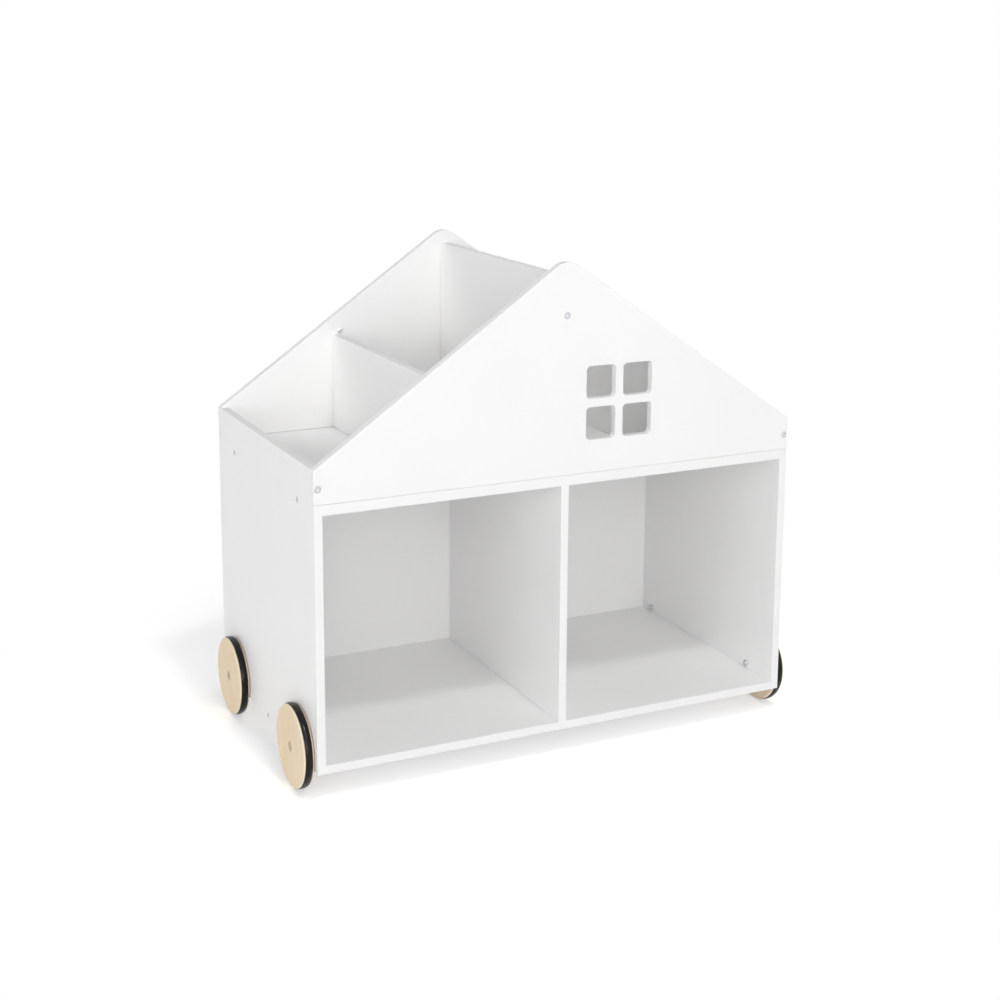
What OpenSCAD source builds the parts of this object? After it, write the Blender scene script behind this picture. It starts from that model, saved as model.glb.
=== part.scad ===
// House shaped bookcase for children, on four wooden wheels.
// Two gables with a roof line stand on an open lower cabinet; four bins lie between them.
// Millimetres. The origin is on the floor under the cabinet's middle, the front faces -Y, +Z is up.

/* [Cabinet] */
// Width over the side panels
body_w = 750; // [600:1:1000]
// Depth over the side panels
body_d = 425; // [380:1:600]
// Thickness of the sides, gables, dividers, back panel and bottom board
board_t = 12; // [11:0.5:18]
// Thickness of the middle shelf
shelf_t = 15; // [12:0.5:22]
// Clear height of the lower compartments
lower_h = 352; // [250:1:450]
// Set-back of the back panel from the rear edges of the side panels
back_inset = 34; // [5:1:80]
// Width of the small chamfer on the board edges
ease = 0.5; // [0.3:0.1:1.5]

/* [Roof] */
// Height of the gables' upright ends above the shelf
shoulder_h = 47.5; // [36:0.5:120]
// Slope of the roof line, in degrees
roof_angle = 34.8; // [28:0.1:42]
// Radius of the rounded ridge
ridge_r = 28; // [5:1:60]
// Drop of the low dividers under the roof line, at their outer face
low_drop = 27.5; // [10:0.5:60]
// Drop of the centre divider under the ridge
centre_drop = 19.5; // [8:0.5:50]
// Gap between the shelf and the gables' lower edges
foot_gap = 0.4; // [0:0.1:0.9]

/* [Window] */
// Side of one square pane
pane = 47; // [30:0.5:60]
// Width of the bars between the panes
bar_w = 12; // [6:0.5:25]
// Corner radius of a pane
pane_r = 6.5; // [1:0.5:12]
// Distance of the window's middle from the gable's middle
window_x = 85; // [75:1:110]
// Height of the window's middle above the shelf
window_up = 100.5; // [75:0.5:130]

/* [Wheels] */
// Diameter over the tyre
wheel_d = 120; // [100:1:150]
// Thickness of the wooden disc
disc_t = 15; // [14:0.5:22]
// Step from the tyre's crown down to the wooden rim
tyre_proud = 1.5; // [0.5:0.1:2.5]
// Depth of the tyre's groove below the rim
groove_depth = 3.5; // [2:0.1:6]
// Width of the wooden flange outside the tyre
flange_out = 2.5; // [2:0.1:4]
// Width of the wooden flange on the cabinet's side of the tyre
flange_in = 2.5; // [2:0.1:4]
// Radius of the tyre's crown
crown_r = 12; // [9:0.5:30]
// Chamfer round the disc's two faces
disc_ease = 1.6; // [0.5:0.1:1.9]
// Height of the axles above the bottom board
axle_up = 7.5; // [7.5:0.5:30]
// Distance of the front axles from the front edge
axle_front = 66.5; // [60:0.5:120]
// Distance of the rear axles from the rear edge
axle_rear = 74; // [60:0.5:140]
// Thickness of the spacer washers
spacer_t = 1.2; // [0.8:0.1:6]
// Diameter of the spacer washers
spacer_d = 16; // [13:0.5:17]
// Side play of a wheel between its washer and its bolt head
side_play = 0.3; // [0.2:0.1:1]

/* [Axles] */
// Diameter of the axle bolts
axle_d = 6; // [5:0.5:6.5]
// Radial running clearance between bolt and disc
axle_play = 0.08; // [0.03:0.01:0.1]
// Diameter of the bolt heads
bolt_head_d = 12; // [10:0.5:13]
// Height of the bolt heads
bolt_head_t = 4; // [3:0.1:5]
// Diameter of the wooden hub plugs
plug_d = 15; // [14:0.5:20]
// Thickness of the hub plugs
plug_t = 3; // [2:0.1:4]
// Depth of the hub plugs' faces below the discs' faces
plug_sink = 0.8; // [0:0.1:1]
// Width of the cap nuts across their flats
nut_w = 10; // [9:0.5:12]
// Height of the hexagon of the cap nuts
nut_t = 3; // [2.5:0.5:6]
// Height of the domes on the cap nuts
dome_t = 2; // [1.8:0.1:4]

/* [Fastenings] */
// Diameter of the connector screws' heads
screw_head_d = 9; // [7.5:0.1:10]
// Thickness of the connector screws' heads
screw_head_t = 3; // [2.5:0.1:4]
// Width across the flats of the screws' hexagon sockets
socket_w = 4; // [3:0.5:5]
// Depth of the sockets
socket_t = 1.8; // [1:0.1:2.2]
// Radial clearance of the heads in their sinkings
head_gap = 0.3; // [0.1:0.05:0.4]
// Diameter of the connector screws' shanks
screw_d = 5; // [4:0.5:6]
// Length of the shanks
screw_l = 42; // [30:1:50]
// Depth of the heads' faces below the board
screw_sink = 0.3; // [0:0.1:0.5]
// Height of the gables' side screws above the shelf
gable_screw_up = 22; // [12:0.5:26]
// Distance of the gables' middle screw below the top of the ridge
ridge_screw_down = 74; // [60:1:120]
// Distance of the front connector screws from the front edge
side_screw_front = 66; // [45:1:100]
// Distance of the rear connector screws from the rear edge
side_screw_rear = 77; // [70:1:110]
// Diameter of the dowels
dowel_d = 6; // [5:0.5:8]
// Length of a dowel in a board's face
dowel_face = 7; // [5:0.5:8]
// Length of a dowel in a board's edge
dowel_edge = 20; // [12:0.5:25]
// Radial clearance of screws, dowels, plugs and bolts in their holes
hole_gap = 0.1; // [0.05:0.01:0.2]
// Diameter of the retaining screws' round heads over the low dividers
retainer_d = 10; // [8:0.5:12]
// Height of the retaining screws' heads
retainer_t = 3; // [2.2:0.1:4]
// Length of the retaining screws' shanks
retainer_l = 8; // [5:0.5:9]

/* [Hidden] */
$fn = 64;

half_w = body_w / 2;
y_front = -body_d / 2;
y_rear = body_d / 2;
side_x = half_w - board_t;                    // inner face of the right side panel

wheel_r = wheel_d / 2;
z_base = wheel_r - axle_up - board_t;         // lower edge of the side panels
z_floor = z_base + board_t;                   // top of the bottom board
z_shelf = z_floor + lower_h;                  // underside of the shelf
z_gable = z_shelf + shelf_t;                  // top of the shelf, foot of the gables
z_shoulder = z_gable + shoulder_h;
z_point = z_shoulder + half_w * tan(roof_angle);             // where the two slopes would meet
z_ridge_c = z_point - ridge_r / cos(roof_angle);             // centre of the ridge's arc
z_ridge = z_ridge_c + ridge_r;

back_y = y_rear - back_inset - board_t;       // front face of the back panel
bin_y = y_front + board_t;                    // inner face of the front gable
quarter_x = (side_x + board_t / 2) / 2;       // middle of the low dividers, for four equal bins
axle_y_front = y_front + axle_front;
axle_y_rear = y_rear - axle_rear;
screw_y_front = y_front + side_screw_front;
screw_y_rear = y_rear - side_screw_rear;
screw_y_back = back_y - side_screw_front;     // rear screws of the lower divider
low_top = z_shoulder + (half_w - quarter_x - board_t / 2) * tan(roof_angle) - low_drop;
centre_top = z_ridge - centre_drop;

through = 1;                                  // how far a cut runs past the face that it opens
lap = 5;                                      // overlap of two boxes that make one board
hole_end = 0.5;                               // space past the end of a screw or dowel
head_ease = 0.5;                              // chamfer round the connector screws' heads
plug_ease = 0.4;                              // chamfer round the hub plugs' faces
retainer_gap = 0.3;                           // space between a retaining screw's head and its divider
dowel_in = 30;                                // distance of end dowels from a board's corner or a screw
gable_dowel_in = 95;                          // distance of the gables' foot dowels from the sides
back_dowel_in = 60;                           // distance of the back panel's side dowels from its corners
dowel_step = 26;                              // distance of the dividers' foot dowels from the screws

z_ridge_screw = z_ridge - ridge_screw_down;
z_centre_dowel = z_ridge_screw - dowel_in;    // upper end dowels of the centre divider
z_low_dowel = low_top - dowel_in;             // upper end dowels of the low dividers

white = [0.94, 0.94, 0.93];
birch = [0.87, 0.77, 0.61];
beech = [0.80, 0.65, 0.45];
black = [0.07, 0.07, 0.07];
steel = [0.75, 0.76, 0.78];

// Radius over the corners of a hexagon of a given width across its flats
function hexagon_r(width) = width / 2 / cos(30);

// ---- placing ----

// Puts children, drawn along +Z from the origin, at p and points them along a unit vector
module place(p, into) {
    translate(p) rotate([0, acos(into.z), atan2(into.y, into.x)]) children();
}

module front_and_rear() {
    children();
    mirror([0, 1, 0]) children();
}

module left_and_right() {
    children();
    mirror([1, 0, 0]) children();
}

// ---- boards ----

module chamfered_rect(w, h) {
    polygon([
        [ease, 0], [w - ease, 0], [w, ease], [w, h - ease],
        [w - ease, h], [ease, h], [0, h - ease], [0, ease]
    ]);
}

// A board from corner lo to corner hi with all its edges eased
module board(lo, hi) {
    s = hi - lo;
    translate(lo) intersection() {
        linear_extrude(s.z) chamfered_rect(s.x, s.y);
        translate([0, s.y, 0]) rotate([90, 0, 0]) linear_extrude(s.y) chamfered_rect(s.x, s.z);
        rotate([90, 0, 90]) linear_extrude(s.x) chamfered_rect(s.y, s.z);
    }
}

// A square bar whose middle line runs from a to b in the XZ plane; it eases the edge that it lies on
module edge_cutter(a, b, past) {
    d = b - a;
    side = ease * sqrt(2);
    translate([a.x, 0, a.y]) rotate([0, -atan2(d.y, d.x), 0]) translate([norm(d) / 2, 0, 0])
        rotate([45, 0, 0]) cube([norm(d) + 2 * past, side, side], center = true);
}

// The same along an arc about the origin of the XZ plane, from an angle and over a sweep
module arc_cutter(r, from, sweep) {
    rotate([90, 0, 0]) rotate([0, 0, from]) rotate_extrude(angle = sweep)
        translate([r, 0]) rotate(45) square(ease * sqrt(2), center = true);
}

// The house outline, with its outer face in the plane y = 0 and its inner face at board_t
module gable_plate() {
    tangent = ridge_r * [sin(roof_angle), cos(roof_angle)];
    corners = [
        [-half_w, z_gable + foot_gap], [half_w, z_gable + foot_gap], [half_w, z_shoulder],
        [tangent.x, z_ridge_c + tangent.y], [-tangent.x, z_ridge_c + tangent.y], [-half_w, z_shoulder]
    ];
    straight = [[0, 1], [1, 2], [2, 3], [4, 5], [5, 0]];
    past = 2 * ease;
    difference() {
        union() {
            translate([0, board_t, 0]) rotate([90, 0, 0]) linear_extrude(board_t) polygon(corners);
            translate([0, 0, z_ridge_c]) rotate([-90, 0, 0]) cylinder(r = ridge_r, h = board_t);
        }
        for (y = [0, board_t]) translate([0, y, 0]) {
            for (e = straight) edge_cutter(corners[e[0]], corners[e[1]], past);
            translate([0, 0, z_ridge_c]) arc_cutter(ridge_r, 90 - roof_angle, 2 * roof_angle);
        }
    }
}

module rounded_square(side, r) {
    square([side - 2 * r, side], center = true);
    square([side, side - 2 * r], center = true);
    for (x = [-1, 1], y = [-1, 1]) translate([x, y] * (side / 2 - r)) circle(r);
}

// The hole of one pane through a gable whose outer face is in the plane y = 0, with eased edges
module pane_hole() {
    half = pane / 2;
    flat = half - pane_r;
    translate([0, board_t + through, 0]) rotate([90, 0, 0])
        linear_extrude(board_t + 2 * through) rounded_square(pane, pane_r);
    for (y = [0, board_t], quarter = [0:90:270]) translate([0, y, 0]) rotate([0, quarter, 0]) {
        edge_cutter([-flat, half], [flat, half], 0);
        translate([flat, 0, flat]) arc_cutter(pane_r, 0, 90);
    }
}

module window_panes() {
    pitch = (pane + bar_w) / 2;
    for (x = [-1, 1], z = [-1, 1])
        translate([window_x + x * pitch, 0, z_gable + window_up + z * pitch]) pane_hole();
}

// One right side panel; its top corners step back for the gables
module side_board() {
    difference() {
        union() {
            board([side_x, y_front, z_base], [half_w, y_rear, z_gable]);
            board([side_x, bin_y, z_gable - lap], [half_w, -bin_y, z_shoulder]);
        }
        side_screws(true);
        side_dowels(true);
        back_side_dowels(true);
        front_and_rear() gable_screws(true);
        for (y = [axle_y_front, axle_y_rear])
            place([half_w + through, y, wheel_r], [-1, 0, 0])
                cylinder(r = axle_d / 2 + hole_gap, h = board_t + 2 * through);
    }
}

// A divider between the gables, centred on x, up to a given height, with its upper end dowels at z_dowel
module upper_divider(x, top, z_dowel) {
    difference() {
        board([x - board_t / 2, bin_y, z_gable], [x + board_t / 2, -bin_y, top]);
        foot_dowels(x, true);
        front_and_rear() end_dowels(x, z_dowel, true);
        front_and_rear() gable_screws(true);
    }
}

// ---- fastenings, each drawn as itself or as its hole ----

// Hexagon socket of a given width across its flats, open towards -Z
module socket(width, depth) {
    translate([0, 0, -through]) cylinder(r = hexagon_r(width), h = depth + through, $fn = 6);
}

// Part of a ball, from the plane z = 0 up to a given height, over a base of a given radius
module dome(base_r, height) {
    ball_r = (pow(base_r, 2) + pow(height, 2)) / (2 * height);
    intersection() {
        translate([0, 0, height - ball_r]) sphere(ball_r);
        cylinder(r = 2 * base_r, h = 2 * height);
    }
}

// Connector screw along +Z from the board's surface, with a hexagon socket in its sunk head
module connector(hole) {
    r = screw_d / 2;
    head_r = screw_head_d / 2;
    under_head = screw_sink + screw_head_t;
    if (hole) {
        translate([0, 0, -through]) cylinder(r = head_r + head_gap, h = through + under_head);
        cylinder(r = r + hole_gap, h = under_head + screw_l + hole_end);
    } else translate([0, 0, screw_sink]) difference() {
        union() {
            cylinder(r1 = head_r - head_ease, r2 = head_r, h = head_ease);
            translate([0, 0, head_ease]) cylinder(r = head_r, h = screw_head_t - head_ease);
            cylinder(r = r, h = screw_head_t + screw_l);
        }
        socket(socket_w, socket_t);
    }
}

// Dowel along Z through the joint plane z = 0: +Z is the board that it enters by the face
module dowel(hole) {
    gap = hole ? hole_gap : 0;
    end = hole ? hole_end : 0;
    translate([0, 0, -dowel_edge - end])
        cylinder(r = dowel_d / 2 + gap, h = dowel_edge + dowel_face + 2 * end);
}

// Front gable: two screws into the side panels' edges and one into the centre divider
module gable_screws(hole) {
    side = half_w - board_t / 2;
    z_side = z_gable + gable_screw_up;
    for (p = [[-side, z_side], [side, z_side], [0, z_ridge_screw]])
        place([p.x, y_front, p.y], [0, 1, 0]) connector(hole);
}

// Right side panel: into the ends of the shelf and the bottom board
module side_screws(hole) {
    z_low = z_base + board_t / 2;
    z_high = z_shelf + shelf_t / 2;
    for (y = [screw_y_front, 0, screw_y_rear]) place([half_w, y, z_low], [-1, 0, 0]) connector(hole);
    for (y = [screw_y_front, screw_y_rear]) place([half_w, y, z_high], [-1, 0, 0]) connector(hole);
}

module side_dowels(hole) {
    for (y = [screw_y_front / 2, screw_y_rear / 2], z = [z_base + board_t / 2, z_shelf + shelf_t / 2])
        place([side_x, y, z], [1, 0, 0]) dowel(hole);
}

// Lower divider: screws from under the bottom board and from above the shelf, a dowel between them
module divider_screws(hole) {
    for (y = [screw_y_front, screw_y_back]) {
        place([0, y, z_base], [0, 0, 1]) connector(hole);
        place([0, y, z_gable], [0, 0, -1]) connector(hole);
    }
}

module divider_dowels(hole) {
    y = (y_front + back_y) / 2;
    place([0, y, z_floor], [0, 0, -1]) dowel(hole);
    place([0, y, z_shelf], [0, 0, 1]) dowel(hole);
}

// Dividers above the shelf: dowels in their feet and in their front ends
module foot_dowels(x, hole) {
    for (y = [screw_y_front, screw_y_back])
        place([x, y + dowel_step, z_gable], [0, 0, -1]) dowel(hole);
}

module end_dowels(x, z_dowel, hole) {
    for (z = [z_gable + dowel_in, z_dowel]) place([x, bin_y, z], [0, -1, 0]) dowel(hole);
}

module all_foot_dowels(hole) {
    for (x = [-quarter_x, 0, quarter_x]) foot_dowels(x, hole);
}

// Front gable: into the dividers' ends, and from its foot into the shelf
module gable_dowels(hole) {
    end_dowels(0, z_centre_dowel, hole);
    left_and_right() {
        end_dowels(quarter_x, z_low_dowel, hole);
        gable_foot_dowel(hole);
    }
}

module gable_foot_dowel(hole) {
    place([half_w - gable_dowel_in, y_front + board_t / 2, z_gable], [0, 0, -1]) dowel(hole);
}

// Back panel: into the right side panel, and into the bottom board and the shelf
module back_side_dowels(hole) {
    for (z = [z_floor + back_dowel_in, z_shelf - back_dowel_in])
        place([side_x, back_y + board_t / 2, z], [1, 0, 0]) dowel(hole);
}

module back_edge_dowels(hole) {
    left_and_right() {
        place([quarter_x, back_y + board_t / 2, z_floor], [0, 0, -1]) dowel(hole);
        place([quarter_x, back_y + board_t / 2, z_shelf], [0, 0, 1]) dowel(hole);
    }
}

// Round-headed screw in the rear gable's inner face; its head holds the right low divider down
module retaining_screw(hole) {
    head_r = retainer_d / 2;
    place([quarter_x - board_t / 2, -bin_y, low_top + retainer_gap + head_r], [0, -1, 0])
        if (hole) mirror([0, 0, 1]) cylinder(r = screw_d / 2 + hole_gap, h = retainer_l + hole_end);
        else difference() {
            union() {
                dome(head_r, retainer_t);
                mirror([0, 0, 1]) cylinder(r = screw_d / 2, h = retainer_l);
            }
            translate([0, 0, retainer_t]) mirror([0, 0, 1]) socket(socket_w, socket_t);
        }
}

// ---- wheels, drawn along +Z outwards from the side panel's outer face ----

disc_z = spacer_t + side_play;                // inner face of the disc
rim_r = wheel_r - tyre_proud;
groove_r = rim_r - groove_depth;
head_z = disc_z + disc_t - plug_sink - plug_t - side_play - bolt_head_t;   // underside of the bolt head
pocket_z = head_z - side_play;                // floor of the pocket in the disc

module at_wheel(side, y) {
    place([side * half_w, y, wheel_r], [side, 0, 0]) children();
}

module wheel_disc() {
    groove_lo = disc_z + flange_in;
    groove_hi = disc_z + disc_t - flange_out;
    face = disc_z + disc_t;
    bore_r = axle_d / 2 + axle_play;
    color(birch) rotate_extrude() polygon([
        [bore_r, disc_z], [rim_r - disc_ease, disc_z], [rim_r, disc_z + disc_ease], [rim_r, groove_lo],
        [groove_r, groove_lo], [groove_r, groove_hi], [rim_r, groove_hi], [rim_r, face - disc_ease],
        [rim_r - disc_ease, face], [plug_d / 2, face], [plug_d / 2, pocket_z], [bore_r, pocket_z]
    ]);
}

module tyre() {
    groove_w = disc_t - flange_in - flange_out;
    gap = hole_gap;
    color(black) translate([0, 0, disc_z + flange_in]) rotate_extrude() intersection() {
        translate([groove_r, gap]) square([wheel_r - groove_r, groove_w - 2 * gap]);
        translate([wheel_r - crown_r, groove_w / 2]) circle(crown_r);
    }
}

module hub_plug() {
    r = plug_d / 2 - hole_gap;
    top = disc_z + disc_t - plug_sink;
    color(birch) rotate_extrude()
        polygon([[0, top - plug_t], [r, top - plug_t], [r, top - plug_ease], [r - plug_ease, top], [0, top]]);
}

module axle_bolt() {
    color(steel) difference() {
        union() {
            translate([0, 0, head_z]) cylinder(d = bolt_head_d, h = bolt_head_t);
            translate([0, 0, -board_t - nut_t]) cylinder(d = axle_d, h = board_t + nut_t + head_z);
        }
        translate([0, 0, head_z + bolt_head_t]) mirror([0, 0, 1]) socket(socket_w, socket_t);
    }
}

module spacer_washer() {
    color(steel) difference() {
        cylinder(d = spacer_d, h = spacer_t);
        translate([0, 0, -through]) cylinder(r = axle_d / 2 + hole_gap, h = spacer_t + 2 * through);
    }
}

// Hexagon with a domed end, on the panel's inner face
module cap_nut() {
    color(steel) translate([0, 0, -board_t]) mirror([0, 0, 1]) difference() {
        union() {
            cylinder(r = hexagon_r(nut_w), h = nut_t, $fn = 6);
            translate([0, 0, nut_t]) dome(nut_w / 2, dome_t);
        }
        translate([0, 0, -through]) cylinder(r = axle_d / 2 + hole_gap, h = through + nut_t + hole_end);
    }
}

module front_left() { at_wheel(-1, axle_y_front) children(); }
module front_right() { at_wheel(1, axle_y_front) children(); }
module rear_left() { at_wheel(-1, axle_y_rear) children(); }
module rear_right() { at_wheel(1, axle_y_rear) children(); }

// ---- sub-parts of the cabinet ----

module left_side_panel() { color(white) mirror([1, 0, 0]) side_board(); }

module right_side_panel() { color(white) side_board(); }

module bottom_board() {
    color(white) difference() {
        board([-side_x, y_front, z_base], [side_x, y_rear, z_floor]);
        left_and_right() { side_screws(true); side_dowels(true); }
        divider_screws(true);
        divider_dowels(true);
        back_edge_dowels(true);
    }
}

module middle_shelf() {
    color(white) difference() {
        board([-side_x, y_front, z_shelf], [side_x, y_rear, z_gable]);
        left_and_right() { side_screws(true); side_dowels(true); }
        divider_screws(true);
        divider_dowels(true);
        back_edge_dowels(true);
        all_foot_dowels(true);
        front_and_rear() left_and_right() gable_foot_dowel(true);
    }
}

module lower_divider() {
    color(white) difference() {
        board([-board_t / 2, y_front, z_floor], [board_t / 2, back_y, z_shelf]);
        divider_screws(true);
        divider_dowels(true);
    }
}

module back_panel() {
    color(white) difference() {
        board([-side_x, back_y, z_floor], [side_x, back_y + board_t, z_shelf]);
        left_and_right() back_side_dowels(true);
        back_edge_dowels(true);
    }
}

module front_gable() {
    color(white) difference() {
        translate([0, y_front, 0]) gable_plate();
        translate([0, y_front, 0]) window_panes();
        gable_screws(true);
        gable_dowels(true);
    }
}

module rear_gable() {
    color(white) difference() {
        translate([0, y_rear - board_t, 0]) gable_plate();
        mirror([0, 1, 0]) gable_screws(true);
        mirror([0, 1, 0]) gable_dowels(true);
        left_and_right() retaining_screw(true);
    }
}

module upper_centre_divider() { color(white) upper_divider(0, centre_top, z_centre_dowel); }

module upper_left_divider() { color(white) upper_divider(-quarter_x, low_top, z_low_dowel); }

module upper_right_divider() { color(white) upper_divider(quarter_x, low_top, z_low_dowel); }

module front_gable_screws() { color(steel) gable_screws(false); }

module rear_gable_screws() { color(steel) mirror([0, 1, 0]) gable_screws(false); }

module left_side_screws() { color(steel) mirror([1, 0, 0]) side_screws(false); }

module right_side_screws() { color(steel) side_screws(false); }

module lower_divider_screws() { color(steel) divider_screws(false); }

module divider_retaining_screws() { color(steel) left_and_right() retaining_screw(false); }

module front_gable_dowels() { color(beech) gable_dowels(false); }

module rear_gable_dowels() { color(beech) mirror([0, 1, 0]) gable_dowels(false); }

module upper_divider_dowels() { color(beech) all_foot_dowels(false); }

module side_panel_dowels() { color(beech) left_and_right() side_dowels(false); }

module lower_divider_dowels() { color(beech) divider_dowels(false); }

module back_panel_dowels() {
    color(beech) {
        left_and_right() back_side_dowels(false);
        back_edge_dowels(false);
    }
}

// ---- sub-parts of the wheels ----

module front_left_wheel_disc() { front_left() wheel_disc(); }
module front_left_tyre() { front_left() tyre(); }
module front_left_hub_plug() { front_left() hub_plug(); }
module front_left_axle_bolt() { front_left() axle_bolt(); }
module front_left_spacer_washer() { front_left() spacer_washer(); }
module front_left_cap_nut() { front_left() cap_nut(); }

module front_right_wheel_disc() { front_right() wheel_disc(); }
module front_right_tyre() { front_right() tyre(); }
module front_right_hub_plug() { front_right() hub_plug(); }
module front_right_axle_bolt() { front_right() axle_bolt(); }
module front_right_spacer_washer() { front_right() spacer_washer(); }
module front_right_cap_nut() { front_right() cap_nut(); }

module rear_left_wheel_disc() { rear_left() wheel_disc(); }
module rear_left_tyre() { rear_left() tyre(); }
module rear_left_hub_plug() { rear_left() hub_plug(); }
module rear_left_axle_bolt() { rear_left() axle_bolt(); }
module rear_left_spacer_washer() { rear_left() spacer_washer(); }
module rear_left_cap_nut() { rear_left() cap_nut(); }

module rear_right_wheel_disc() { rear_right() wheel_disc(); }
module rear_right_tyre() { rear_right() tyre(); }
module rear_right_hub_plug() { rear_right() hub_plug(); }
module rear_right_axle_bolt() { rear_right() axle_bolt(); }
module rear_right_spacer_washer() { rear_right() spacer_washer(); }
module rear_right_cap_nut() { rear_right() cap_nut(); }

left_side_panel();
right_side_panel();
bottom_board();
middle_shelf();
lower_divider();
back_panel();
front_gable();
rear_gable();
upper_centre_divider();
upper_left_divider();
upper_right_divider();
front_gable_screws();
rear_gable_screws();
left_side_screws();
right_side_screws();
lower_divider_screws();
divider_retaining_screws();
front_gable_dowels();
rear_gable_dowels();
upper_divider_dowels();
side_panel_dowels();
lower_divider_dowels();
back_panel_dowels();
front_left_wheel_disc();
front_left_tyre();
front_left_hub_plug();
front_left_axle_bolt();
front_left_spacer_washer();
front_left_cap_nut();
front_right_wheel_disc();
front_right_tyre();
front_right_hub_plug();
front_right_axle_bolt();
front_right_spacer_washer();
front_right_cap_nut();
rear_left_wheel_disc();
rear_left_tyre();
rear_left_hub_plug();
rear_left_axle_bolt();
rear_left_spacer_washer();
rear_left_cap_nut();
rear_right_wheel_disc();
rear_right_tyre();
rear_right_hub_plug();
rear_right_axle_bolt();
rear_right_spacer_washer();
rear_right_cap_nut();
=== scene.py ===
"""House shaped bookcase on wheels: materials, floor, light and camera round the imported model.

Metres, in the model's own frame: the front faces -Y, +X is right seen from the front, +Z is up.
Colours are linear. Pattern scales are in cells per metre, and bump depths in millimetres.
"""

import math

import bpy
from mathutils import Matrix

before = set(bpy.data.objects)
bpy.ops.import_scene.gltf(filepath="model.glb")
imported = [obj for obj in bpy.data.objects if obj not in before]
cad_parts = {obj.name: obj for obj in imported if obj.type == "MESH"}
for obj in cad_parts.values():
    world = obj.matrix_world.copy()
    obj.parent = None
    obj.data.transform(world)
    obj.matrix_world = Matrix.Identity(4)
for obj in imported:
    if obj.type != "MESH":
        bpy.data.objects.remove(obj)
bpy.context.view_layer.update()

MM = 0.001
BOARDS_ACROSS_X = (
    "left_side_panel", "right_side_panel", "lower_divider",
    "upper_centre_divider", "upper_left_divider", "upper_right_divider",
)
BOARDS_ACROSS_Y = ("front_gable", "rear_gable", "back_panel")
BOARDS_ACROSS_Z = ("bottom_board", "middle_shelf")
STEEL_NODES = (
    "front_gable_screws", "rear_gable_screws", "left_side_screws", "right_side_screws",
    "lower_divider_screws", "divider_retaining_screws",
)
DOWEL_NODES = (
    "front_gable_dowels", "rear_gable_dowels", "upper_divider_dowels",
    "side_panel_dowels", "lower_divider_dowels", "back_panel_dowels",
)
WHEEL_GRAIN = {"front_left": 12, "front_right": 74, "rear_left": 141, "rear_right": 38}   # degrees
PLUG_TURN = 60            # a plug's grain from its disc's, in degrees


# ---- node trees ----

MIDDLE = (0.3, 0.7)       # most of a noise texture's values lie between these


def new_material(name):
    material = bpy.data.materials.new(name)
    material.use_nodes = True
    material.node_tree.nodes.clear()
    return material


def feed(tree, socket, value):
    """Links a socket to another one, or sets its value."""
    if isinstance(value, bpy.types.NodeSocket):
        tree.links.new(value, socket)
    else:
        socket.default_value = value


def add(tree, kind, inputs=None, **settings):
    """Adds a shader node; inputs are socket names or numbers with a value or another node's socket."""
    node = tree.nodes.new("ShaderNode" + kind)
    for name, value in settings.items():
        setattr(node, name, value)
    for key, value in (inputs or {}).items():
        feed(tree, node.inputs[key], value)
    return node


def calc(tree, operation, a, b=0.0, c=0.0):
    return add(tree, "Math", {0: a, 1: b, 2: c}, operation=operation).outputs[0]


def blend(tree, factor, a, b):
    """Mixes two colours."""
    node = tree.nodes.new("ShaderNodeMix")
    node.data_type = "RGBA"
    feed(tree, node.inputs["Factor"], factor)
    for socket, value in ((node.inputs[6], a), (node.inputs[7], b)):
        feed(tree, socket, value if isinstance(value, bpy.types.NodeSocket) else (*value, 1.0))
    return node.outputs[2]


def ramp(tree, value, low, high, start=0.0, end=1.0):
    """Goes smoothly from start to end as value goes from low to high."""
    inputs = {"Value": value, "From Min": low, "From Max": high, "To Min": start, "To Max": end}
    return add(tree, "MapRange", inputs, interpolation_type="SMOOTHSTEP").outputs[0]


def noise(tree, place, scale, detail=2.0, roughness=0.5, stretch=(1, 1, 1), turn=(0, 0, 0)):
    mapped = add(tree, "Mapping", {"Vector": place, "Rotation": turn, "Scale": stretch})
    inputs = {"Vector": mapped.outputs[0], "Scale": scale, "Detail": detail, "Roughness": roughness}
    return add(tree, "TexNoise", inputs).outputs[0]


def bump(tree, height, depth, strength, normal=None):
    """Raises the surface by up to depth millimetres, on top of another bump's normal if there is one."""
    inputs = {"Height": height, "Distance": depth * MM, "Strength": strength}
    if normal is not None:
        inputs["Normal"] = normal
    return add(tree, "Bump", inputs).outputs[0]


def surface(tree, **inputs):
    """The principled shader and the output; underscores in the names stand for spaces."""
    sockets = {name.replace("_", " "): value for name, value in inputs.items()}
    shader = add(tree, "BsdfPrincipled", sockets)
    add(tree, "OutputMaterial", {"Surface": shader.outputs[0]})


def facing(tree, place, axis):
    """How squarely the surface faces along an axis, from 0 to 1."""
    parts = add(tree, "SeparateXYZ", {0: place.outputs["Normal"]})
    return calc(tree, "ABSOLUTE", parts.outputs["XYZ".index(axis)])


# ---- white boards ----

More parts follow.
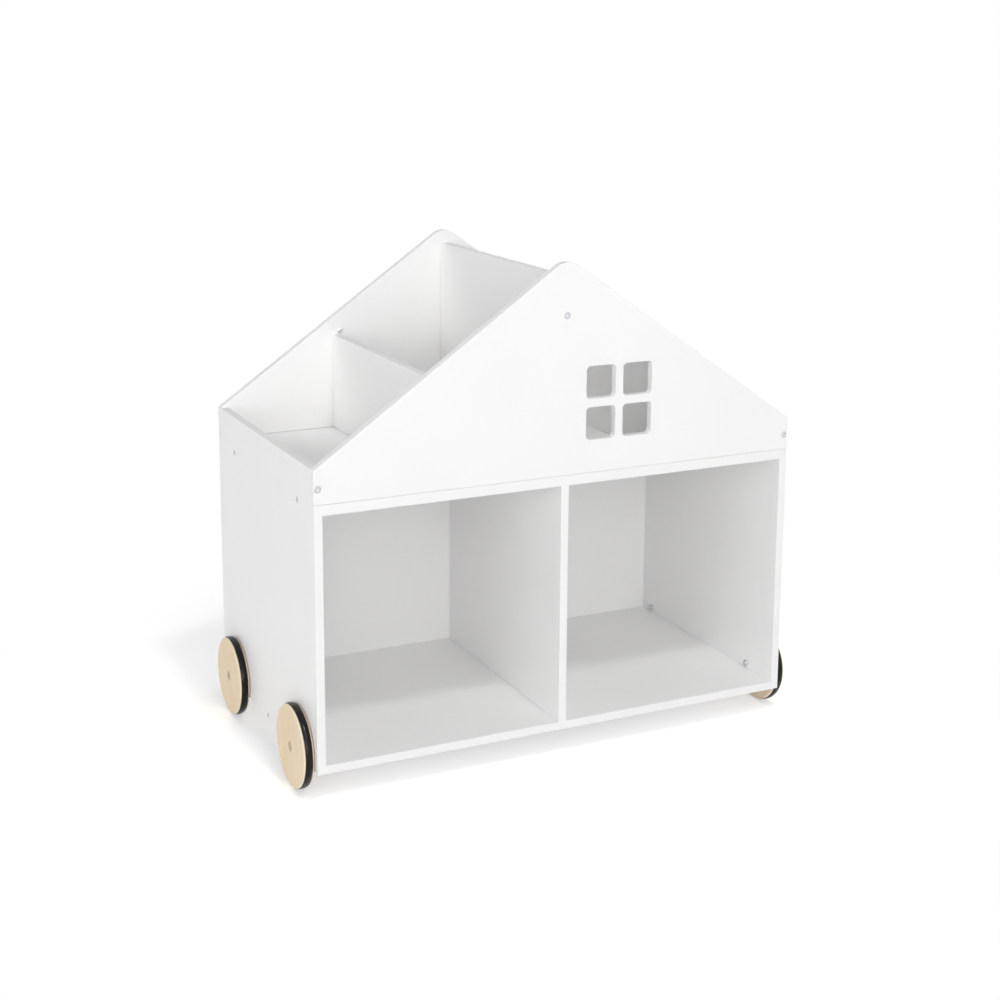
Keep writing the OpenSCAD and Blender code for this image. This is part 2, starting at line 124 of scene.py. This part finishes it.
FACE_WHITE = (0.95, 0.948, 0.944)
FACE_WHITE_2 = (0.965, 0.963, 0.959)
EDGE_WHITE = (0.93, 0.927, 0.921)
EDGE_WHITE_2 = (0.955, 0.952, 0.946)
RUBBED_WHITE = (0.78, 0.75, 0.69)
EDGE_FACING = (0.9, 0.8)      # facing at which a board's face turns into its edge
CORNER_FACING = (0.2, 0.5)    # an edge faces less than this, and a broken corner more
CLOUD_SCALE = 5
FIBRE_SCALE = 700
FIBRE_SPREAD = (0.35, 0.65)
FIBRE_DEPTH = 0.04
WEAR_SCALE = 38
WEAR_SPREAD = (0.58, 0.7)
WEAR_MOST = 0.5               # share of rubbed colour where a corner is worn most
SMUDGE_SCALE = 14
PEEL_SCALE = 420              # the lacquer's fine orange peel
PEEL_DEPTH = 0.03
WAVE_SCALE = 60               # the slower waves below it
WAVE_DEPTH = 0.1
LACQUER_GLOSS = (0.34, 0.46)
EDGE_DULLER = 0.08


def white_board(name, across):
    """Satin white lacquer on fibreboard; across is the axis of the board's thickness."""
    material = new_material(name)
    tree = material.node_tree
    place = add(tree, "TexCoord")
    spot = place.outputs["Object"]
    flat = facing(tree, place, across)
    edge = ramp(tree, flat, *EDGE_FACING)
    corner = calc(tree, "MULTIPLY", edge, ramp(tree, flat, *CORNER_FACING))

    clouds = noise(tree, spot, CLOUD_SCALE, detail=3)
    shade = blend(tree, ramp(tree, clouds, *MIDDLE), FACE_WHITE, FACE_WHITE_2)
    fibres = noise(tree, spot, FIBRE_SCALE, detail=3, roughness=0.7)
    edge_shade = blend(tree, ramp(tree, fibres, *FIBRE_SPREAD), EDGE_WHITE, EDGE_WHITE_2)
    colour = blend(tree, edge, shade, edge_shade)
    rubs = noise(tree, spot, WEAR_SCALE, detail=5, roughness=0.65)
    wear = ramp(tree, rubs, *WEAR_SPREAD, end=WEAR_MOST)
    colour = blend(tree, calc(tree, "MULTIPLY", wear, corner), colour, RUBBED_WHITE)

    smudges = noise(tree, spot, SMUDGE_SCALE, detail=4, roughness=0.6)
    gloss = ramp(tree, smudges, *MIDDLE, *LACQUER_GLOSS)
    gloss = calc(tree, "MULTIPLY_ADD", edge, EDGE_DULLER, gloss)

    peel = noise(tree, spot, PEEL_SCALE, detail=2)
    waves = noise(tree, spot, WAVE_SCALE, detail=1)
    normal = bump(tree, peel, PEEL_DEPTH, strength=0.6)
    normal = bump(tree, waves, WAVE_DEPTH, strength=0.35, normal=normal)
    edge_fibres = calc(tree, "MULTIPLY", fibres, edge)
    normal = bump(tree, edge_fibres, FIBRE_DEPTH, strength=0.6, normal=normal)
    surface(tree, Base_Color=colour, Roughness=gloss, Normal=normal, Specular_IOR_Level=0.45)
    return material


# ---- birch plywood ----

BIRCH = (0.88, 0.71, 0.49)
BIRCH_DARK = (0.82, 0.63, 0.41)
BIRCH_PALE = (0.91, 0.77, 0.57)
BIRCH_FLECK = (0.55, 0.39, 0.24)
STREAK_SCALE = 230
STREAK_STRETCH = (1, 1, 0.06)     # long streaks along the grain, which runs up before it is turned
STREAK_DEPTH = 0.05
FLECK_SCALE = 1500
FLECK_STRETCH = (1, 1, 0.16)
FLECK_SPREAD = (0.6, 0.72)
FLECK_DEPTH = 0.02
FIGURE_SCALE = 26
FIGURE_STRETCH = (1, 1, 0.5)
GRAIN_SPREAD = (0.35, 0.7)
DISC_GLOSS = (0.42, 0.56)


def birch_face(tree, spot, turn):
    """The face veneer's colour and its streaks and flecks; turn is its grain, in degrees."""
    angle = (math.radians(turn), 0, 0)
    streaks = noise(tree, spot, STREAK_SCALE, detail=4, roughness=0.6, stretch=STREAK_STRETCH, turn=angle)
    flecks = noise(tree, spot, FLECK_SCALE, detail=1, stretch=FLECK_STRETCH, turn=angle)
    figure = noise(tree, spot, FIGURE_SCALE, detail=3, stretch=FIGURE_STRETCH, turn=angle)
    colour = blend(tree, ramp(tree, streaks, *GRAIN_SPREAD, end=0.6), BIRCH, BIRCH_DARK)
    colour = blend(tree, ramp(tree, flecks, *FLECK_SPREAD, end=0.3), colour, BIRCH_FLECK)
    colour = blend(tree, ramp(tree, figure, *GRAIN_SPREAD, end=0.45), colour, BIRCH_PALE)
    return colour, streaks, flecks


def off_centre(tree, place):
    """Distance from a wheel's axis, as a share of the piece's diameter."""
    parts = add(tree, "SeparateXYZ", {0: place.outputs["Generated"]})
    across = [calc(tree, "SUBTRACT", parts.outputs[axis], 0.5) for axis in (1, 2)]
    squares = [calc(tree, "MULTIPLY", part, part) for part in across]
    return calc(tree, "SQRT", calc(tree, "ADD", *squares))


PLY_PALE = (0.94, 0.85, 0.66)
PLY_DARK = (0.52, 0.36, 0.22)
PLY_GLUE = (0.25, 0.15, 0.09)
PLY_PORE = (0.36, 0.23, 0.13)
PLIES = 9
PLY_JOINT = 0.54              # where in a pale and a dark ply's span their glue line lies
PLY_CHANGE = (0.52, 0.6)      # where pale turns to dark there
GLUE_WIDTH = (0.07, 0.02)     # from this far off the joint, the glue line comes up
PORE_SCALE = 2200
PORE_SPREAD = (0.4, 0.8)
RIM_FACING = (0.92, 0.85)     # facing at which the disc's face turns into its rim
PAINTED_RIM_HIGHLIGHT = (0.482, 0.493)   # painted highlight: the face turns pale over these shares of the diameter


def ply_layers(tree, place, spot):
    """The plies across a disc's thickness."""
    depth = add(tree, "SeparateXYZ", {0: place.outputs["Generated"]}).outputs[0]
    off_middle = calc(tree, "ABSOLUTE", calc(tree, "SUBTRACT", depth, 0.5))
    ply = calc(tree, "PINGPONG", calc(tree, "MULTIPLY", off_middle, PLIES), 1.0)
    pores = noise(tree, spot, PORE_SCALE, detail=1)
    layers = blend(tree, ramp(tree, ply, *PLY_CHANGE), PLY_PALE, PLY_DARK)
    layers = blend(tree, ramp(tree, pores, *PORE_SPREAD, end=0.35), layers, PLY_PORE)
    off_joint = calc(tree, "ABSOLUTE", calc(tree, "SUBTRACT", ply, PLY_JOINT))
    return blend(tree, ramp(tree, off_joint, *GLUE_WIDTH, end=0.5), layers, PLY_GLUE)


def birch_disc(name, turn):
    """Clear birch plywood, with a painted highlight as a pale ring at the edge of its face, and its plies
    round the rim.
    """
    material = new_material(name)
    tree = material.node_tree
    place = add(tree, "TexCoord")
    spot = place.outputs["Object"]
    face, streaks, flecks = birch_face(tree, spot, turn)
    # painted highlight: a pale ring round the face's edge, where its chamfer would catch the light
    face = blend(tree, ramp(tree, off_centre(tree, place), *PAINTED_RIM_HIGHLIGHT, end=0.8), face, PLY_PALE)
    rim = ramp(tree, facing(tree, place, "X"), *RIM_FACING)
    colour = blend(tree, rim, face, ply_layers(tree, place, spot))

    normal = bump(tree, streaks, STREAK_DEPTH, strength=0.5)
    normal = bump(tree, flecks, FLECK_DEPTH, strength=0.5, normal=normal)
    gloss = ramp(tree, streaks, *MIDDLE, *DISC_GLOSS)
    surface(tree, Base_Color=colour, Roughness=gloss, Normal=normal, Specular_IOR_Level=0.4)
    return material


# The edge colour is a glue line together with painted shade of the gap round the plug
PLUG_EDGE_GLUE_AND_SHADE = (0.20, 0.14, 0.09)
PLUG_TONE = (0.44, 0.34, 0.24)
PLUG_STREAKS = (0.35, 0.6)
PLUG_TONE_SHARE = (0.35, 0.9)     # least and most of the plug's tone over the birch
PLUG_GLUE_AND_GAP_SHADE = (0.4, 0.49)           # the glue line and the painted shade of the gap round the plug come up over these shares of the diameter
PLUG_STREAK_DEPTH = 0.06
PLUG_GLOSS = (0.45, 0.6)


def birch_plug(name, turn):
    """The hub plug: birch darker than the disc, with a glue line and painted shade of the gap round its
    edge.
    """
    material = new_material(name)
    tree = material.node_tree
    place = add(tree, "TexCoord")
    face, streaks, flecks = birch_face(tree, place.outputs["Object"], turn)
    colour = blend(tree, ramp(tree, streaks, *PLUG_STREAKS, *PLUG_TONE_SHARE), face, PLUG_TONE)
    # glue line and painted shade of the gap, darkening the plug towards its edge
    colour = blend(tree, ramp(tree, off_centre(tree, place), *PLUG_GLUE_AND_GAP_SHADE, end=0.8), colour, PLUG_EDGE_GLUE_AND_SHADE)
    normal = bump(tree, streaks, PLUG_STREAK_DEPTH, strength=0.6)
    normal = bump(tree, flecks, FLECK_DEPTH, strength=0.5, normal=normal)
    gloss = ramp(tree, streaks, *MIDDLE, *PLUG_GLOSS)
    surface(tree, Base_Color=colour, Roughness=gloss, Normal=normal, Specular_IOR_Level=0.4)
    return material


# ---- rubber, steel and dowels ----

RUBBER = (0.005, 0.005, 0.0055)
RUBBER_DUSTY = (0.014, 0.0135, 0.013)
DUST_SCALE = 45
DUST_SPREAD = (0.45, 0.8)
RUBBER_GRAIN_SCALE = 1300
RUBBER_GRAIN_DEPTH = 0.02
RUBBER_GLOSS = (0.16, 0.3)


def black_rubber():
    material = new_material("black_rubber")
    tree = material.node_tree
    spot = add(tree, "TexCoord").outputs["Object"]
    dust = noise(tree, spot, DUST_SCALE, detail=5, roughness=0.65)
    colour = blend(tree, ramp(tree, dust, *DUST_SPREAD), RUBBER, RUBBER_DUSTY)
    gloss = ramp(tree, dust, *MIDDLE, *RUBBER_GLOSS)
    grain = noise(tree, spot, RUBBER_GRAIN_SCALE, detail=2)
    normal = bump(tree, grain, RUBBER_GRAIN_DEPTH, strength=0.5)
    surface(tree, Base_Color=colour, Roughness=gloss, Normal=normal, Specular_IOR_Level=0.22)
    return material


ZINC = (0.78, 0.79, 0.81)
ZINC_DARK = (0.62, 0.63, 0.66)
SPANGLE_SCALE = 1100
SCUFF_SCALE = 700
SCUFF_DEPTH = 0.02
ZINC_GLOSS = (0.2, 0.4)


def zinc_steel():
    """Zinc-plated steel: small crystals of slightly different brightness, and scuffs."""
    material = new_material("zinc_steel")
    tree = material.node_tree
    spot = add(tree, "TexCoord").outputs["Object"]
    spangle = add(tree, "TexVoronoi", {"Vector": spot, "Scale": SPANGLE_SCALE}).outputs["Color"]
    patches = add(tree, "SeparateColor", {0: spangle}).outputs[0]
    colour = blend(tree, patches, ZINC, ZINC_DARK)
    scuffs = noise(tree, spot, SCUFF_SCALE, detail=4, roughness=0.7)
    gloss = ramp(tree, scuffs, *MIDDLE, *ZINC_GLOSS)
    normal = bump(tree, scuffs, SCUFF_DEPTH, strength=0.6)
    surface(tree, Base_Color=colour, Roughness=gloss, Normal=normal, Metallic=1.0)
    return material


BEECH = (0.64, 0.44, 0.26)
BEECH_DARK = (0.5, 0.32, 0.18)
BEECH_FLECK_SCALE = 1400
BEECH_FLECK_STRETCH = (1, 0.2, 1)
BEECH_FLECK_SPREAD = (0.4, 0.65)
BEECH_FLECK_DEPTH = 0.05
BEECH_GLOSS = (0.6, 0.72)


def beech_dowel():
    material = new_material("beech_dowel")
    tree = material.node_tree
    spot = add(tree, "TexCoord").outputs["Object"]
    flecks = noise(tree, spot, BEECH_FLECK_SCALE, detail=3, stretch=BEECH_FLECK_STRETCH)
    colour = blend(tree, ramp(tree, flecks, *BEECH_FLECK_SPREAD), BEECH, BEECH_DARK)
    normal = bump(tree, flecks, BEECH_FLECK_DEPTH, strength=0.6)
    gloss = ramp(tree, flecks, *MIDDLE, *BEECH_GLOSS)
    surface(tree, Base_Color=colour, Roughness=gloss, Normal=normal)
    return material


# ---- which piece gets which ----

def paint(node, material):
    """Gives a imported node's object its finished material."""
    for slot in bpy.data.objects[node].material_slots:
        slot.material = material


def paint_all():
    for axis, nodes in (("X", BOARDS_ACROSS_X), ("Y", BOARDS_ACROSS_Y), ("Z", BOARDS_ACROSS_Z)):
        board = white_board("white_board_" + axis.lower(), axis)
        for node in nodes:
            paint(node, board)
    steel = zinc_steel()
    rubber = black_rubber()
    beech = beech_dowel()
    for node in STEEL_NODES:
        paint(node, steel)
    for node in DOWEL_NODES:
        paint(node, beech)
    for wheel, grain in WHEEL_GRAIN.items():
        paint(wheel + "_wheel_disc", birch_disc("birch_disc_" + wheel, grain))
        paint(wheel + "_hub_plug", birch_plug("birch_plug_" + wheel, grain + PLUG_TURN))
        paint(wheel + "_tyre", rubber)
        for piece in ("_axle_bolt", "_spacer_washer", "_cap_nut"):
            paint(wheel + piece, steel)


# ---- surroundings ----

WHITE = (1, 1, 1, 1)
HORIZON_LIGHT = 0.35
ZENITH_LIGHT = 0.0
LAMP_TARGET = (0, 0, 0.3)
# Name, degrees from the front towards +X, degrees up, distance, diameter, watts
LAMPS = (
    ("key", 0, 62, 5, 0.5, 40),
    ("overhead", 4, 46, 5, 3.0, 34),
    ("front", -14, 14, 6, 3.6, 91),
    ("left", -60, 8, 6, 3.6, 79),
    ("side", -90, 18, 6, 3.6, 57),
    ("right", 60, 40, 6, 3.6, 24),
)
# The same values for the lamps that fill in the far sides, and don't show as highlights
FILL_LAMPS = (
    ("far_side", 92, 10, 6, 3.6, 110),
    ("back", 180, 10, 6, 3.6, 140),
)
FLOOR_SIZE = 60
FLOOR_BOUNCE = (0.95, 0.95, 0.95, 1)   # the floor's own colour, which lights the object from below
FLOOR_GLOW = 0.37             # light of its own that the floor shows, which softens the shadow
FLOOR_FADE = (0.55, 0.85)     # distances from the origin over which the floor turns plain white


def seen_directly(tree):
    """1 for the camera's rays and for mirror and glass rays, otherwise 0."""
    rays = add(tree, "LightPath").outputs
    mirrored = calc(tree, "MAXIMUM", rays["Is Glossy Ray"], rays["Is Transmission Ray"])
    return calc(tree, "MAXIMUM", rays["Is Camera Ray"], mirrored)


def make_world():
    """White where it is seen, and a soft light from the horizon for the rest."""
    world = bpy.data.worlds.new("studio")
    bpy.context.scene.world = world
    world.use_nodes = True
    tree = world.node_tree
    tree.nodes.clear()
    up = add(tree, "SeparateXYZ", {0: add(tree, "TexCoord").outputs["Generated"]}).outputs[2]
    inputs = {"Value": up, "To Min": HORIZON_LIGHT, "To Max": ZENITH_LIGHT}
    sky = add(tree, "MapRange", inputs).outputs[0]
    light = add(tree, "Background", {"Color": WHITE, "Strength": sky})
    white = add(tree, "Background", {"Color": WHITE, "Strength": 1.0})
    both = add(tree, "MixShader", {0: seen_directly(tree), 1: light.outputs[0], 2: white.outputs[0]})
    add(tree, "OutputWorld", {"Surface": both.outputs[0]})


def floor_material():
    """Matt white; where it is seen directly it keeps the object's shadow, softened."""
    material = new_material("floor")
    tree = material.node_tree
    matt = add(tree, "BsdfDiffuse", {"Color": FLOOR_BOUNCE})
    shaded = add(tree, "BsdfDiffuse", {"Color": WHITE})
    glow = add(tree, "Emission", {"Color": WHITE, "Strength": FLOOR_GLOW})
    near = add(tree, "AddShader", {0: shaded.outputs[0], 1: glow.outputs[0]})
    far = add(tree, "Emission", {"Color": WHITE, "Strength": 1.0})
    spot = add(tree, "TexCoord").outputs["Object"]
    distance = add(tree, "VectorMath", {0: spot}, operation="LENGTH").outputs["Value"]
    fade = ramp(tree, distance, *FLOOR_FADE)
    seen = add(tree, "MixShader", {0: fade, 1: near.outputs[0], 2: far.outputs[0]})
    both = add(tree, "MixShader", {0: seen_directly(tree), 1: matt.outputs[0], 2: seen.outputs[0]})
    add(tree, "OutputMaterial", {"Surface": both.outputs[0]})
    return material


def make_floor():
    bpy.ops.mesh.primitive_plane_add(size=FLOOR_SIZE, location=(0, 0, 0))
    floor = bpy.context.object
    floor.name = "studio_floor"
    floor.data.materials.append(floor_material())


def make_lamp(name, turn, rise, distance, size, power, highlight):
    """A round soft lamp that points at the middle of the object."""
    lamp = bpy.data.lights.new(name, "AREA")
    lamp.shape = "DISK"
    lamp.size = size
    lamp.energy = power
    piece = bpy.data.objects.new(name, lamp)
    bpy.context.collection.objects.link(piece)
    turn, rise = math.radians(turn), math.radians(rise)
    way = (math.sin(turn) * math.cos(rise), -math.cos(turn) * math.cos(rise), math.sin(rise))
    piece.location = [middle + distance * part for middle, part in zip(LAMP_TARGET, way)]
    piece.rotation_euler = (math.pi / 2 - rise, 0, turn)
    piece.visible_camera = False
    piece.visible_glossy = highlight


# ---- camera ----

CAMERA_PLACE = (-1.098, -2.227, 1.034)
CAMERA_TURN = 24.54           # towards +X from straight ahead, in degrees
CAMERA_DROP = 10.93           # below the horizon, in degrees
LENS = 60.6                   # focal length, in millimetres
SENSOR = 36                   # sensor width, in millimetres
SHIFT = (0.05, -0.145)
FARTHEST_SEEN = 100


def make_camera():
    camera = bpy.data.cameras.new("camera")
    camera.lens = LENS
    camera.sensor_width = SENSOR
    camera.shift_x, camera.shift_y = SHIFT
    camera.clip_end = FARTHEST_SEEN
    piece = bpy.data.objects.new("camera", camera)
    bpy.context.collection.objects.link(piece)
    piece.location = CAMERA_PLACE
    piece.rotation_euler = (math.radians(90 - CAMERA_DROP), 0, math.radians(-CAMERA_TURN))
    bpy.context.scene.camera = piece


def main():
    bpy.context.scene.view_settings.view_transform = "Standard"
    make_camera()
    paint_all()
    make_world()
    make_floor()
    for lamp in LAMPS:
        make_lamp(*lamp, highlight=True)
    for lamp in FILL_LAMPS:
        make_lamp(*lamp, highlight=False)


main()
